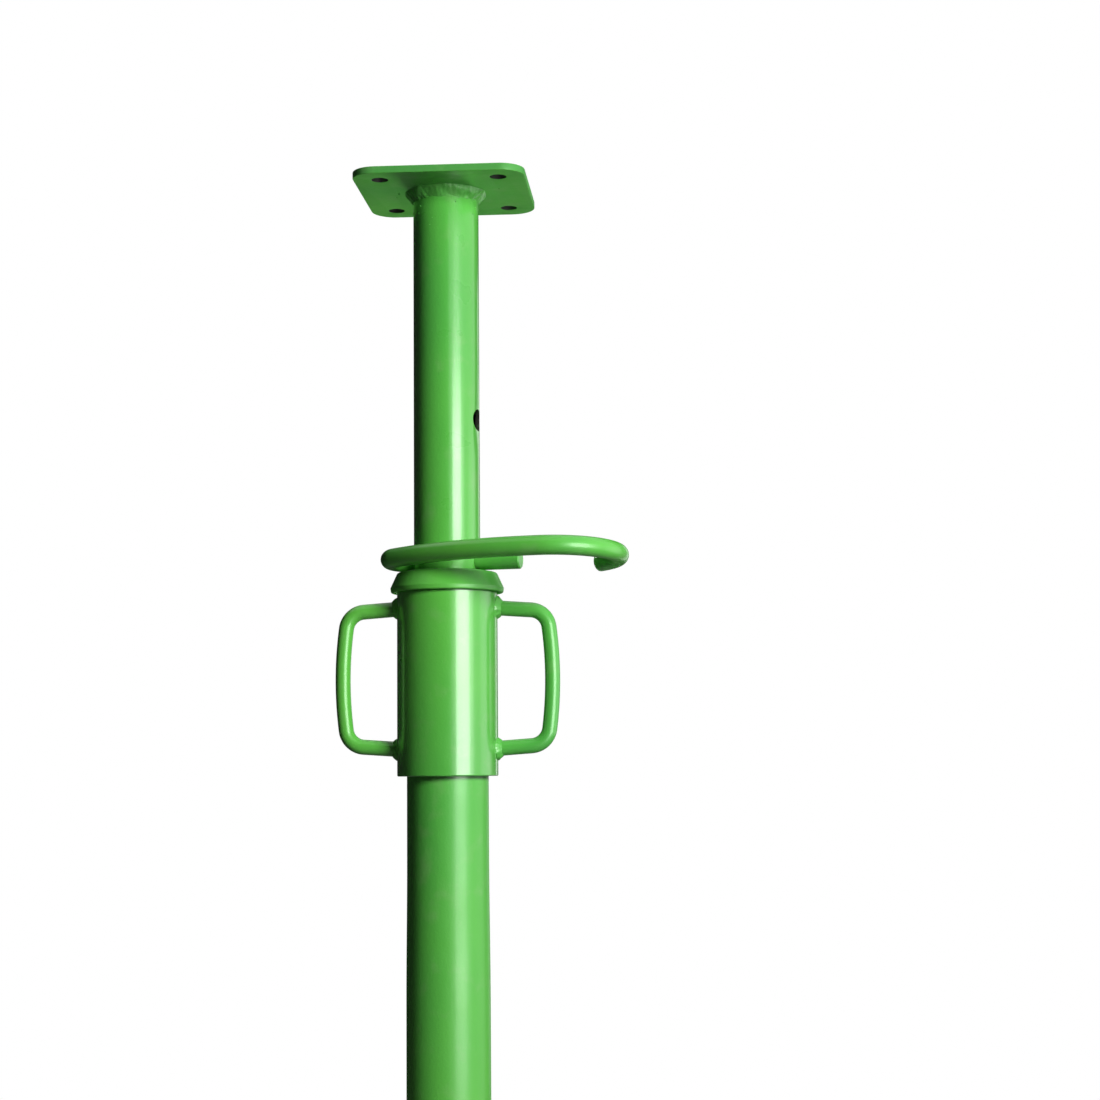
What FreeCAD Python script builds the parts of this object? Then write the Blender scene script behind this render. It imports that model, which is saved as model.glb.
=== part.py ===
import FreeCAD, Part
import math
import os
import re

import Sketcher

# Adjustable steel prop with a covered thread, standing on its base plate.
# Millimetres. The origin is the centre of the base plate's underside, +Z is up
# and X and Y run along the sides of both plates. The outer tube stands on the
# base plate, the nut sleeve covers its thread, the loose thrust ring lies on
# the sleeve, and the captive pin carries the inner tube on that ring.

Vector = FreeCAD.Vector
UP = Vector(0, 0, 1)
ALONG_Y = Vector(0, 1, 0)
TINY = 1e-6

# Driving dimensions: alias, value, what it is
SIZES = [
    ("plate_side", 125, "side of the square base plate and head plate"),
    ("plate_thickness", 5, "thickness of both plates"),
    ("plate_corner", 18, "radius of the plates' corners"),
    ("plate_edge", 0.6, "chamfer of the plates' edges"),
    ("bolt_spacing", 86, "side of the square of bolt holes"),
    ("bolt_hole_radius", 6, "radius of a bolt hole"),
    ("plate_weld_leg", 6, "leg of the fillet weld between a tube and its plate"),
    ("weld_crown", 0.8, "how far a fillet weld bulges beyond a straight flank"),
    ("outer_radius", 30.15, "outside radius of the outer tube"),
    ("outer_wall", 2.9, "wall of the outer tube"),
    ("outer_length", 900, "length of the outer tube"),
    ("thread_radius", 29.5, "crest radius of the rolled thread"),
    ("mouth_depth", 4, "from the sleeve's top down to the outer tube's mouth, at rest"),
    ("neck_straight", 60, "drawn neck below the thread"),
    ("neck_taper", 100, "taper from the neck to the full tube"),
    ("lip_height", 8, "height of the lip turned in at the outer tube's mouth"),
    ("lip_land", 3, "straight part of that lip"),
    ("mouth_radius", 25.2, "bore of the turned-in lip"),
    ("inner_radius", 24.15, "outside radius of the inner tube"),
    ("inner_wall", 2.9, "wall of the inner tube"),
    ("inner_length", 1000, "length of the inner tube"),
    ("flare_height", 8, "height of the flare at the inner tube's foot"),
    ("flare_growth", 1.4, "how far the flare widens the tube"),
    ("pin_hole_radius", 8, "radius of the cross holes in the inner tube"),
    ("pin_hole_drop", 171, "from the inner tube's top to its first cross hole"),
    ("pin_hole_pitch", 104, "distance between cross holes"),
    ("pin_hole_count", 7, "number of cross holes"),
    ("pinned_hole", 2, "the cross hole that the pin is in, from the top"),
    ("pin_turn", -10.9, "turn of the cross holes about the prop's axis"),
    ("sleeve_radius", 36.5, "outside radius of the nut sleeve"),
    ("sleeve_wall", 3.6, "wall of the nut sleeve"),
    ("sleeve_length", 140, "length of the nut sleeve"),
    ("sleeve_edge", 0.8, "chamfer of the sleeve's outer edges"),
    ("thread_ring_height", 30, "height of the threaded ring in the sleeve"),
    ("thread_ring_recess", 1.5, "how far that ring lies inside the sleeve's foot"),
    ("thread_clearance", 0.3, "gap between the thread and the threaded ring"),
    ("thrust_body", 8.1, "thickness of the thrust ring over the sleeve"),
    ("thrust_rim_radius", 41.4, "radius of the thrust ring's flared rim"),
    ("thrust_rim_drop", 7.6, "how far the rim hangs over the sleeve"),
    ("thrust_rim_face", 4.6, "height of the rim's outer face"),
    ("thrust_shoulder", 36, "radius of the thrust ring's shoulder"),
    ("thrust_shoulder_drop", 1.6, "height of the shoulder below the top face"),
    ("thrust_land", 28, "radius of the flat top face"),
    ("thrust_edge", 1.2, "chamfer of the rim and the shoulder"),
    ("thrust_bore_gap", 1.05, "gap between the inner tube and the thrust ring"),
    ("thrust_flare", 1.6, "how far the rim's inner wall opens downwards"),
    ("seat_gap", 0.3, "gap where one loose piece rests on another"),
    ("handle_rod", 5.5, "radius of the handle rod"),
    ("handle_low", 19.5, "from the sleeve's foot up to the lower arm"),
    ("handle_high", 18.5, "from the sleeve's top down to the upper arm"),
    ("handle_reach", 76.5, "from the prop's axis to the grip's rod centre"),
    ("handle_corner", 14, "bend radius between arm and grip"),
    ("handle_bow", 290, "bend radius of the bowed grip"),
    ("handle_slope", 4, "slope of the arms towards each other"),
    ("handle_sink", 2, "length of rod that is cut to the sleeve's round"),
    ("handle_weld_leg", 3, "leg of the fillet weld round an arm"),
    ("stop_wall", 1.5, "wall of the loose stop ring"),
    ("stop_bore_gap", 0.35, "gap between the inner tube and the stop ring"),
    ("stop_height", 12, "height of the stop ring"),
    ("stop_edge", 0.4, "chamfer of the stop ring's edges"),
    ("pin_rod", 7, "radius of the pin's rod"),
    ("pin_leg", 56, "from the prop's axis to the free end of the pin's leg"),
    ("pin_bend_start", 24.2, "from the prop's axis to the start of the first bend"),
    ("pin_bend", 14, "radius of the first bend"),
    ("pin_hook", 45, "radius of the hook"),
    ("pin_hook_along", 86, "hook centre, along the leg"),
    ("pin_hook_aside", 14, "hook centre, aside from the leg"),
    ("pin_hook_end", 25, "how far the hook's end lies beyond the leg"),
    ("pin_end_chamfer", 1, "chamfer of the pin's two ends"),
    ("pin_tilt", -3.3, "turn of the pin's bow about its leg"),
]

document = FreeCAD.newDocument("steel_prop")
sheet = document.addObject("Spreadsheet::Sheet", "sizes")
for row, (alias, number, note) in enumerate(SIZES, start=1):
    sheet.set("A%d" % row, alias)
    sheet.set("B%d" % row, str(number))
    sheet.set("C%d" % row, note)
    sheet.setAlias("B%d" % row, alias)
document.recompute()

# Places that several pieces share, as formulas of the sheet's cells
THREAD = "(sleeve_length - mouth_depth)"
NUT_REST = "(plate_thickness + outer_length - %s)" % THREAD
RING_FOOT = "(%s + sleeve_length + seat_gap)" % NUT_REST
PIN_HEIGHT = "(%s + thrust_body + seat_gap + pin_rod)" % RING_FOOT
HOLE_HEIGHT = "(%s - pin_hole_radius + pin_rod + seat_gap)" % PIN_HEIGHT
INNER_TOP = "(%s + (pinned_hole - 1) * pin_hole_pitch + pin_hole_drop)" % HOLE_HEIGHT
INNER_FOOT = "(%s - inner_length)" % INNER_TOP
LOW_ARM = "handle_low"
HIGH_ARM = "(sleeve_length - handle_high)"


# Formulas and placing
def in_sheet(formula):
    """The formula with each alias named as a cell of the sheet."""
    return re.sub(r"[a-z]\w*", r"sizes.\g<0>", str(formula))


def value(formula):
    """The formula's present value."""
    return float(sheet.evalExpression(in_sheet(formula)))


def bind(thing, field, formula):
    thing.setExpression(field, in_sheet(formula))


def place(thing, height="0", turn="0"):
    """Lifts a piece to its height and turns it about the prop's axis."""
    thing.Placement = FreeCAD.Placement(Vector(), FreeCAD.Rotation(UP, 1))
    bind(thing, "Placement.Base.z", height)
    bind(thing, "Placement.Rotation.Angle", turn)


# Sketches
def new_body(name):
    body = document.addObject("PartDesign::Body", name)
    body.Label = name
    return body


def new_sketch(body, name, role):
    """A sketch on one of the body's origin planes."""
    sketch = body.newObject("Sketcher::SketchObject", name)
    plane = [item for item in body.Origin.OriginFeatures if item.Role == role][0]
    sketch.AttachmentSupport = [(plane, "")]
    sketch.MapMode = "FlatFace"
    return sketch


def section_sketch(body, name, out, height, slope, radius):
    """A rod's round section, square to a rod that starts out along X at that slope."""
    sketch = new_sketch(body, name, "YZ_Plane")
    sketch.AttachmentOffset = FreeCAD.Placement(Vector(), FreeCAD.Rotation(Vector(1, 0, 0), 1))
    bind(sketch, "AttachmentOffset.Base.y", height)
    bind(sketch, "AttachmentOffset.Base.z", out)
    bind(sketch, "AttachmentOffset.Rotation.Angle", "-(%s)" % slope)
    draw_circle(sketch, "0", "0", radius)
    return sketch


def constrain(sketch, kind, *arguments):
    return sketch.addConstraint(Sketcher.Constraint(kind, *arguments))


def pin_point(sketch, edge, end, across, along):
    """Binds one end of an edge (3 is a centre) to two formulas."""
    for kind, formula in (("DistanceX", across), ("DistanceY", along)):
        number = constrain(sketch, kind, -1, 1, edge, end, value(formula))
        bind(sketch, "Constraints[%d]" % number, formula)


def bind_radius(sketch, edge, formula):
    number = constrain(sketch, "Radius", edge, value(formula))
    bind(sketch, "Constraints[%d]" % number, formula)


def draw_outline(sketch, corners):
    """A closed outline of straight lines whose corners are pairs of formulas."""
    points = [Vector(value(across), value(along), 0) for across, along in corners]
    count = len(points)
    for index in range(count):
        line = Part.LineSegment(points[index], points[(index + 1) % count])
        sketch.addGeometry(line)
    for index in range(count):
        constrain(sketch, "Coincident", index, 2, (index + 1) % count, 1)
    for index, (across, along) in enumerate(corners):
        pin_point(sketch, index, 1, across, along)


def draw_circle(sketch, across, along, radius):
    centre = Vector(value(across), value(along), 0)
    circle = sketch.addGeometry(Part.Circle(centre, UP, value(radius)))
    pin_point(sketch, circle, 3, across, along)
    bind_radius(sketch, circle, radius)


def arc(centre, radius, start, end):
    """An arc that runs anticlockwise between two angles in radians."""
    return Part.ArcOfCircle(Part.Circle(centre, UP, radius), start, end)


def draw_chain(sketch, edges):
    """Edges end to end, each tangent to the next."""
    for edge in edges:
        sketch.addGeometry(edge)
    for index in range(len(edges) - 1):
        constrain(sketch, "Tangent", index, 2, index + 1, 1)


# Features
def revolve(body, name, corners):
    """Turns an outline of (radius, height) corners about the body's axis."""
    sketch = new_sketch(body, name + "_outline", "XZ_Plane")
    draw_outline(sketch, corners)
    turned = body.newObject("PartDesign::Revolution", name)
    turned.Profile = sketch
    turned.ReferenceAxis = (sketch, ["V_Axis"])
    turned.Angle = 360
    document.recompute()
    return turned


def edges_where(feature, test):
    """Names of the feature's edges that pass the test."""
    edges = feature.Shape.Edges
    return ["Edge%d" % (index + 1) for index, edge in enumerate(edges) if test(edge)]


def dress(body, kind, name, base, edges, formula):
    """A fillet or a chamfer of the named edges."""
    feature = body.newObject("PartDesign::" + kind, name)
    feature.Base = (base, edges)
    bind(feature, "Radius" if kind == "Fillet" else "Size", formula)
    document.recompute()
    return feature


def cut_through(body, name, sketch):
    """Pockets the sketch through the whole body, both ways."""
    before = body.Shape.Volume
    pocket = body.newObject("PartDesign::Pocket", name)
    pocket.Profile = sketch
    pocket.Type = "ThroughAll"
    pocket.Midplane = True
    document.recompute()
    if pocket.Shape.Volume > before - TINY:
        raise RuntimeError(name + " cuts nothing")
    return pocket


def is_upright(edge):
    box = edge.BoundBox
    return box.ZLength > TINY and box.XLength < TINY and box.YLength < TINY


def lies_at(edge, height):
    box = edge.BoundBox
    return box.ZLength < TINY and abs(box.ZMin - height) < TINY


def is_ring(edge, radius, height):
    box = edge.BoundBox
    return lies_at(edge, height) and abs(box.XLength / 2 - radius) < TINY


# Plates and their welds
def make_plate(name, height):
    """A square plate with rounded corners and a bolt hole in each corner."""
    body = new_body(name)
    half = "plate_side / 2"
    outline = new_sketch(body, name + "_outline", "XY_Plane")
    corners = [("-" + half, "-" + half), (half, "-" + half), (half, half), ("-" + half, half)]
    draw_outline(outline, corners)
    pad = body.newObject("PartDesign::Pad", name + "_pad")
    pad.Profile = outline
    bind(pad, "Length", "plate_thickness")
    document.recompute()

    uprights = edges_where(pad, is_upright)
    rounded = dress(body, "Fillet", name + "_corners", pad, uprights, "plate_corner")
    faces = (0, value("plate_thickness"))
    rims = edges_where(rounded, lambda edge: any(lies_at(edge, level) for level in faces))
    dress(body, "Chamfer", name + "_edges", rounded, rims, "plate_edge")

    hole = new_sketch(body, name + "_hole", "XY_Plane")
    draw_circle(hole, "bolt_spacing / 2", "bolt_spacing / 2", "bolt_hole_radius")
    pocket = cut_through(body, name + "_bolt_hole", hole)
    pattern = body.newObject("PartDesign::PolarPattern", name + "_bolt_holes")
    pattern.Originals = [pocket]
    pattern.Axis = (hole, ["N_Axis"])
    pattern.Angle = 360
    pattern.Occurrences = 4
    body.Tip = pattern
    place(body, height)
    document.recompute()
    if pattern.Shape.Volume > pocket.Shape.Volume - TINY:
        raise RuntimeError(name + " has no pattern of holes")
    return body


def weld_corners(radius, direction):
    """A fillet weld round a tube, its flank slightly crowned."""
    way = "1" if direction > 0 else "-1"
    outer = "%s + plate_weld_leg" % radius
    middle = "plate_weld_leg / 2 + weld_crown"
    return [
        (radius, "0"),
        (outer, "0"),
        ("%s + %s" % (radius, middle), "%s * (%s)" % (way, middle)),
        (radius, "%s * plate_weld_leg" % way),
    ]


def make_plate_weld(name, radius, height, direction):
    body = new_body(name)
    revolve(body, name + "_bead", weld_corners(radius, direction))
    place(body, height)
    return body


# Outer tube, with its drawn neck and the lip that traps the stop ring
def make_outer_tube():
    body = new_body("outer_tube")
    neck_top = "(outer_length - %s)" % THREAD
    taper_top = "(%s - neck_straight)" % neck_top
    taper_foot = "(%s - neck_taper)" % taper_top
    bore = "outer_radius - outer_wall"
    neck_bore = "thread_radius - outer_wall"
    turned_in = "thread_radius - (%s - mouth_radius)" % neck_bore
    revolve(body, "outer_tube_wall", [
        (bore, "0"),
        ("outer_radius", "0"),
        ("outer_radius", taper_foot),
        ("thread_radius", taper_top),
        ("thread_radius", "outer_length - lip_height"),
        (turned_in, "outer_length - lip_land"),
        (turned_in, "outer_length"),
        ("mouth_radius", "outer_length"),
        ("mouth_radius", "outer_length - lip_land"),
        (neck_bore, "outer_length - lip_height"),
        (neck_bore, taper_top),
        (bore, taper_foot),
    ])
    place(body, "plate_thickness")
    return body


# Inner tube, with its cross holes and flared foot
def make_inner_tube():
    body = new_body("inner_tube")
    bore = "inner_radius - inner_wall"
    revolve(body, "inner_tube_wall", [
        (bore + " + flare_growth", "0"),
        ("inner_radius + flare_growth", "0"),
        ("inner_radius", "flare_height"),
        ("inner_radius", "inner_length"),
        (bore, "inner_length"),
        (bore, "flare_height"),
    ])
    hole = new_sketch(body, "pin_hole_circle", "YZ_Plane")
    draw_circle(hole, "0", "inner_length - pin_hole_drop", "pin_hole_radius")
    pocket = cut_through(body, "pin_hole", hole)
    pattern = body.newObject("PartDesign::LinearPattern", "pin_holes")
    pattern.Originals = [pocket]
    pattern.Direction = (hole, ["V_Axis"])
    pattern.Reversed = True
    bind(pattern, "Length", "pin_hole_pitch * (pin_hole_count - 1)")
    bind(pattern, "Occurrences", "pin_hole_count")
    body.Tip = pattern
    place(body, INNER_FOOT, "pin_turn")
    document.recompute()
    if pattern.Shape.Volume > pocket.Shape.Volume - TINY:
        raise RuntimeError("inner_tube has no pattern of cross holes")
    return body


# Nut: sleeve, threaded ring and thrust ring
def make_nut_sleeve():
    body = new_body("nut_sleeve")
    bore = "sleeve_radius - sleeve_wall"
    wall = revolve(body, "sleeve_wall_turned", [
        (bore, "0"),
        ("sleeve_radius", "0"),
        ("sleeve_radius", "sleeve_length"),
        (bore, "sleeve_length"),
    ])
    radius = value("sleeve_radius")
    levels = (0, value("sleeve_length"))
    rims = edges_where(wall, lambda edge: any(is_ring(edge, radius, z) for z in levels))
    dress(body, "Chamfer", "sleeve_rims", wall, rims, "sleeve_edge")
    place(body, NUT_REST)
    return body


def make_nut_thread_ring():
    body = new_body("nut_thread_ring")
    revolve(body, "thread_ring_turned", [
        ("thread_radius + thread_clearance", "0"),
        ("sleeve_radius - sleeve_wall", "0"),
        ("sleeve_radius - sleeve_wall", "thread_ring_height"),
        ("thread_radius + thread_clearance", "thread_ring_height"),
    ])
    place(body, NUT_REST + " + thread_ring_recess")
    return body


def make_thrust_ring():
    """The dished ring that the pin rests on, its rim hanging over the sleeve."""
    body = new_body("thrust_ring")
    bore = "inner_radius + thrust_bore_gap"
    seat = "sleeve_radius + seat_gap"
    ring = revolve(body, "thrust_ring_turned", [
        (bore, "0"),
        (seat, "0"),
        (seat + " + thrust_flare", "-thrust_rim_drop"),
        ("thrust_rim_radius", "-thrust_rim_drop"),
        ("thrust_rim_radius", "thrust_rim_face - thrust_rim_drop"),
        ("thrust_shoulder", "thrust_body - thrust_shoulder_drop"),
        ("thrust_land", "thrust_body"),
        (bore, "thrust_body"),
    ])
    levels = [
        (value("thrust_rim_radius"), -value("thrust_rim_drop")),
        (value("thrust_rim_radius"), value("thrust_rim_face - thrust_rim_drop")),
        (value("thrust_shoulder"), value("thrust_body - thrust_shoulder_drop")),
    ]
    rims = edges_where(ring, lambda edge: any(is_ring(edge, *level) for level in levels))
    dress(body, "Chamfer", "thrust_edges", ring, rims, "thrust_edge")
    place(body, RING_FOOT)
    return body


# Handles and the welds round their arms
def handle_path(sketch):
    """Arm, bend, bowed grip, bend and arm, each tangent to the next."""
    root = "sleeve_radius - handle_sink"
    grip_centre = ("handle_reach - handle_bow", "(%s + %s) / 2" % (LOW_ARM, HIGH_ARM))
    slope = math.radians(value("handle_slope"))
    bend = value("handle_corner")
    bow = value("handle_bow")
    start = Vector(value(root), value(LOW_ARM), 0)
    bow_centre = Vector(value(grip_centre[0]), value(grip_centre[1]), 0)

    # The lower bend touches the arm's line and the grip's circle from inside
    direction = Vector(math.cos(slope), math.sin(slope), 0)
    across = Vector(-math.sin(slope), math.cos(slope), 0)
    reach = start + across * bend - bow_centre
    part = reach.dot(direction)
    run = math.sqrt(part * part - reach.dot(reach) + (bow - bend) ** 2) - part
    low_bend = start + across * bend + direction * run
    high_bend = Vector(low_bend.x, 2 * bow_centre.y - low_bend.y, 0)
    turn = math.atan2(bow_centre.y - low_bend.y, low_bend.x - bow_centre.x)
    quarter = math.pi / 2
    arm_end = start + direction * run
    high_arm = Vector(arm_end.x, 2 * bow_centre.y - arm_end.y, 0)
    draw_chain(sketch, [
        Part.LineSegment(start, arm_end),
        arc(low_bend, bend, slope - quarter, -turn),
        arc(bow_centre, bow, -turn, turn),
        arc(high_bend, bend, turn, quarter - slope),
        Part.LineSegment(high_arm, Vector(start.x, value(HIGH_ARM), 0)),
    ])
    pin_point(sketch, 0, 1, root, LOW_ARM)
    pin_point(sketch, 4, 2, root, HIGH_ARM)
    pin_point(sketch, 2, 3, *grip_centre)
    bind_radius(sketch, 1, "handle_corner")
    bind_radius(sketch, 2, "handle_bow")
    bind_radius(sketch, 3, "handle_corner")
    for line, formula in ((0, "handle_slope"), (4, "180 - handle_slope")):
        number = constrain(sketch, "Angle", line, math.radians(value(formula)))
        bind(sketch, "Constraints[%d]" % number, formula)


def sweep(body, name, section, path):
    pipe = body.newObject("PartDesign::AdditivePipe", name)
    pipe.Profile = section
    edges = ["Edge%d" % (index + 1) for index in range(len(path.Geometry))]
    pipe.Spine = (path, edges)
    document.recompute()
    return pipe


def make_handle(name, turn):
    body = new_body(name)
    path = new_sketch(body, name + "_path", "XZ_Plane")
    handle_path(path)
    root = "sleeve_radius - handle_sink"
    section = section_sketch(body, name + "_section", root, LOW_ARM, "handle_slope", "handle_rod")
    document.recompute()
    sweep(body, name + "_rod", section, path)
    saddle = new_sketch(body, name + "_saddle", "XY_Plane")
    draw_circle(saddle, "0", "0", "sleeve_radius")
    cut_through(body, name + "_ends", saddle)
    place(body, NUT_REST, turn)
    return body


def make_handle_weld(name, arm_height, slope_way, turn):
    """A cone of weld metal between an arm and the sleeve."""
    root = "sleeve_radius - handle_sink"
    length = "handle_sink + handle_weld_leg"
    cone = document.addObject("Part::Cone", name + "_cone")
    bind(cone, "Radius1", "handle_rod + %s" % length)
    bind(cone, "Radius2", "handle_rod + 0.05")
    bind(cone, "Height", length)
    rod = document.addObject("Part::Cylinder", name + "_rod")
    bind(rod, "Radius", "handle_rod")
    bind(rod, "Height", "2 * (%s)" % length)
    for solid in (cone, rod):
        solid.Placement = FreeCAD.Placement(Vector(), FreeCAD.Rotation(ALONG_Y, 1))
        bind(solid, "Placement.Base.x", root)
        bind(solid, "Placement.Base.z", arm_height)
        bind(solid, "Placement.Rotation.Angle", "90 - %d * handle_slope" % slope_way)
    bored = document.addObject("Part::Cut", name + "_bored")
    bored.Base = cone
    bored.Tool = rod
    sleeve = document.addObject("Part::Cylinder", name + "_sleeve")
    bind(sleeve, "Radius", "sleeve_radius")
    bind(sleeve, "Height", "sleeve_length")
    bead = document.addObject("Part::Cut", name)
    bead.Label = name
    bead.Base = bored
    bead.Tool = sleeve
    place(bead, NUT_REST, turn)
    return bead


# Loose ring on the inner tube's foot, which stops the tube from pulling out
def make_stop_ring():
    body = new_body("stop_ring")
    bore = "inner_radius + stop_bore_gap"
    ring = revolve(body, "stop_ring_turned", [
        (bore, "0"),
        (bore + " + stop_wall", "0"),
        (bore + " + stop_wall", "stop_height"),
        (bore, "stop_height"),
    ])
    radius = value(bore + " + stop_wall")
    levels = (0, value("stop_height"))
    rims = edges_where(ring, lambda edge: any(is_ring(edge, radius, z) for z in levels))
    dress(body, "Chamfer", "stop_ring_edges", ring, rims, "stop_edge")
    place(body, INNER_FOOT + " + flare_height + seat_gap")
    return body


# Captive pin: a straight leg, a tight bend, a long bow and an open hook
def pin_path(sketch):
    """The leg runs along X. The bow lies on the -Y side, towards the user."""
    bend = value("pin_bend")
    hook = value("pin_hook")
    leg_end = Vector(value("pin_leg"), 0, 0)
    bend_start = Vector(-value("pin_bend_start"), 0, 0)
    bend_centre = bend_start - Vector(0, bend, 0)
    hook_centre = Vector(value("pin_hook_along"), -value("pin_hook_aside"), 0)

    # The bow starts where it touches the first bend and ends under the hook's centre
    foot = hook_centre.y - hook
    along = hook_centre.x - bend_centre.x
    rise = bend_start.y - foot - 2 * bend
    bow = (along * along / rise + bend_start.y - foot) / 2
    bow_centre = Vector(hook_centre.x, foot + bow, 0)
    away = bend_centre - bow_centre
    touch = math.atan2(away.y, away.x) + 2 * math.pi
    quarter = math.pi / 2
    hook_rise = math.asin((value("pin_hook_end") - hook_centre.y) / hook)
    draw_chain(sketch, [
        Part.LineSegment(leg_end, bend_start),
        arc(bend_centre, bend, quarter, touch),
        arc(bow_centre, bow, touch, 3 * quarter),
        arc(hook_centre, hook, 3 * quarter, 4 * quarter + hook_rise),
    ])
    pin_point(sketch, 0, 1, "pin_leg", "0")
    pin_point(sketch, 0, 2, "-pin_bend_start", "0")
    bind_radius(sketch, 1, "pin_bend")
    pin_point(sketch, 3, 3, "pin_hook_along", "-pin_hook_aside")
    bind_radius(sketch, 3, "pin_hook")
    number = constrain(sketch, "DistanceX", -1, 1, 3, 1, hook_centre.x)
    bind(sketch, "Constraints[%d]" % number, "pin_hook_along")
    number = constrain(sketch, "DistanceY", -1, 1, 3, 2, value("pin_hook_end"))
    bind(sketch, "Constraints[%d]" % number, "pin_hook_end")


def make_pin():
    body = new_body("g_pin")
    path = new_sketch(body, "pin_path", "XY_Plane")
    pin_path(path)
    section = section_sketch(body, "pin_section", "pin_leg", "0", "0", "pin_rod")
    document.recompute()
    rod = sweep(body, "pin_bent_rod", section, path)
    radius = value("pin_rod")

    def is_end(edge):
        closed = isinstance(edge.Curve, Part.Circle) and edge.isClosed()
        return closed and abs(edge.Curve.Radius - radius) < 0.01

    caps = [face for face in rod.Shape.Faces if isinstance(face.Surface, Part.Plane)]
    rims = [edge for face in caps for edge in face.Edges]
    ends = edges_where(rod, lambda edge: is_end(edge) and any(edge.isSame(rim) for rim in rims))
    dress(body, "Chamfer", "pin_ends", rod, ends, "pin_end_chamfer")
    tilt = FreeCAD.Rotation(Vector(1, 0, 0), value("pin_tilt"))
    turn = FreeCAD.Rotation(UP, value("pin_turn"))
    body.Placement = FreeCAD.Placement(Vector(0, 0, value(PIN_HEIGHT)), turn.multiply(tilt))
    return body


pieces = [
    make_plate("base_plate", "0"),
    make_plate_weld("base_weld", "outer_radius", "plate_thickness", 1),
    make_outer_tube(),
    make_nut_sleeve(),
    make_nut_thread_ring(),
    make_thrust_ring(),
    make_inner_tube(),
    make_plate("head_plate", INNER_TOP),
    make_plate_weld("head_weld", "inner_radius", INNER_TOP, -1),
    make_stop_ring(),
    make_pin(),
]
for side, turn in (("right", "0"), ("left", "180")):
    pieces.append(make_handle(side + "_handle", turn))
    pieces.append(make_handle_weld(side + "_lower_weld", LOW_ARM, 1, turn))
    pieces.append(make_handle_weld(side + "_upper_weld", HIGH_ARM, -1, turn))
document.recompute()

# Every object is sound before anything is written
for item in document.Objects:
    if "Invalid" in item.State or "Error" in item.State:
        raise RuntimeError(item.Name + " is " + str(item.State))
for piece in pieces:
    shape = piece.Shape
    if shape.isNull() or not shape.isValid() or shape.Volume < TINY:
        raise RuntimeError(piece.Label + " has no sound shape")

os.makedirs("parts", exist_ok=True)
for piece in pieces:
    piece.Shape.exportStep(os.path.join("parts", piece.Label + ".step"))
    box = piece.Shape.BoundBox
    print("%-18s %2d solid  z %7.1f to %7.1f" % (piece.Label, len(piece.Shape.Solids), box.ZMin, box.ZMax))
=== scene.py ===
"""Looks of an adjustable steel prop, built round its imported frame.

The frame gives every place and size. Each class below makes one sub-assembly: end
plates with their weld beads, the outer tube with its rolled thread, the inner tube
with its cross holes, the nut with its handles, and the captive pin.
"""

import logging
import math
from dataclasses import dataclass
from enum import Enum
from random import Random
from typing import Callable, Iterable, Sequence

import bmesh
import bpy
from mathutils import Euler, Matrix, Vector, noise


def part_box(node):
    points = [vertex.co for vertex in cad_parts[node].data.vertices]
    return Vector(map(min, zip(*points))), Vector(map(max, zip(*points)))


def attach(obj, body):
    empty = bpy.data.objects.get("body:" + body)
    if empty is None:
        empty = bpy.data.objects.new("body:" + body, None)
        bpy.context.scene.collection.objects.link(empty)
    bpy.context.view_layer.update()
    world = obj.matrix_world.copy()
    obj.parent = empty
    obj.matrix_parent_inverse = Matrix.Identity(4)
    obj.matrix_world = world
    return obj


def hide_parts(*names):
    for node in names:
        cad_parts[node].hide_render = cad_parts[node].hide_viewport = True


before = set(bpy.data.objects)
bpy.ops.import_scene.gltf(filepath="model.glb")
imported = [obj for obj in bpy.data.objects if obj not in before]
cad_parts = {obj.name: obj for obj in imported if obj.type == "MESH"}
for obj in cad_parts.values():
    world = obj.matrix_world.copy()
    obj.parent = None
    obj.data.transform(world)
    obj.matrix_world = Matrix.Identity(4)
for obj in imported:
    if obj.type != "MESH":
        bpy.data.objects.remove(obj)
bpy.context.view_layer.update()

log = logging.getLogger("prop")

MM = 0.001
FULL_TURN = 2 * math.pi
HALF_TURN = Euler((0, 0, math.pi))
THREAD_FACETS = 112
HOLE_FACETS = 40
SMOOTH_ANGLE = math.radians(38)

Ring = tuple[float, float]
Test = Callable[[Vector], bool]


class Body(Enum):
    """The bodies of the frame that pieces ride on."""

    OUTER = "outer"
    THRUST_RING = "thrust_ring"
    NUT = "nut"
    STOP_RING = "stop_ring"
    INNER = "inner"
    PIN = "g_pin"


class Slot(Enum):
    """The record's material slots."""

    PAINT = "green_paint"
    WELD = "painted_weld"
    STEEL = "bare_steel"


class Side(Enum):
    """The side of the nut that a handle stands on."""

    RIGHT = 1
    LEFT = -1


class Role(Enum):
    """What a studio panel is for: soft light on the paint, or its mirror image in the gloss."""

    FILL = "fill"
    STRIP = "strip"


# Hands on the mesh


def deselect_all() -> None:
    """Leaves nothing selected, so that an operator acts on the new piece alone."""
    bpy.ops.object.select_all(action="DESELECT")


def only(piece: bpy.types.Object) -> None:
    """Selects one piece and makes it the active one."""
    deselect_all()
    piece.select_set(True)
    bpy.context.view_layer.objects.active = piece


def select_points(piece: bpy.types.Object, test: Callable[[bmesh.types.BMVert], bool]) -> None:
    """Selects the edited mesh's points, and what they span, by their place or number.

    Args:
        piece: The piece in edit mode.
        test: Says of a point whether it is taken.
    """
    bpy.ops.mesh.select_mode(type="VERT")
    mesh = bmesh.from_edit_mesh(piece.data)
    mesh.verts.index_update()
    for point in mesh.verts:
        point.select = test(point)
    mesh.select_flush(True)
    mesh.select_flush(False)
    bmesh.update_edit_mesh(piece.data)


def point_count(piece: bpy.types.Object) -> int:
    """Number of points in the edited mesh."""
    return len(bmesh.from_edit_mesh(piece.data).verts)


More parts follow.
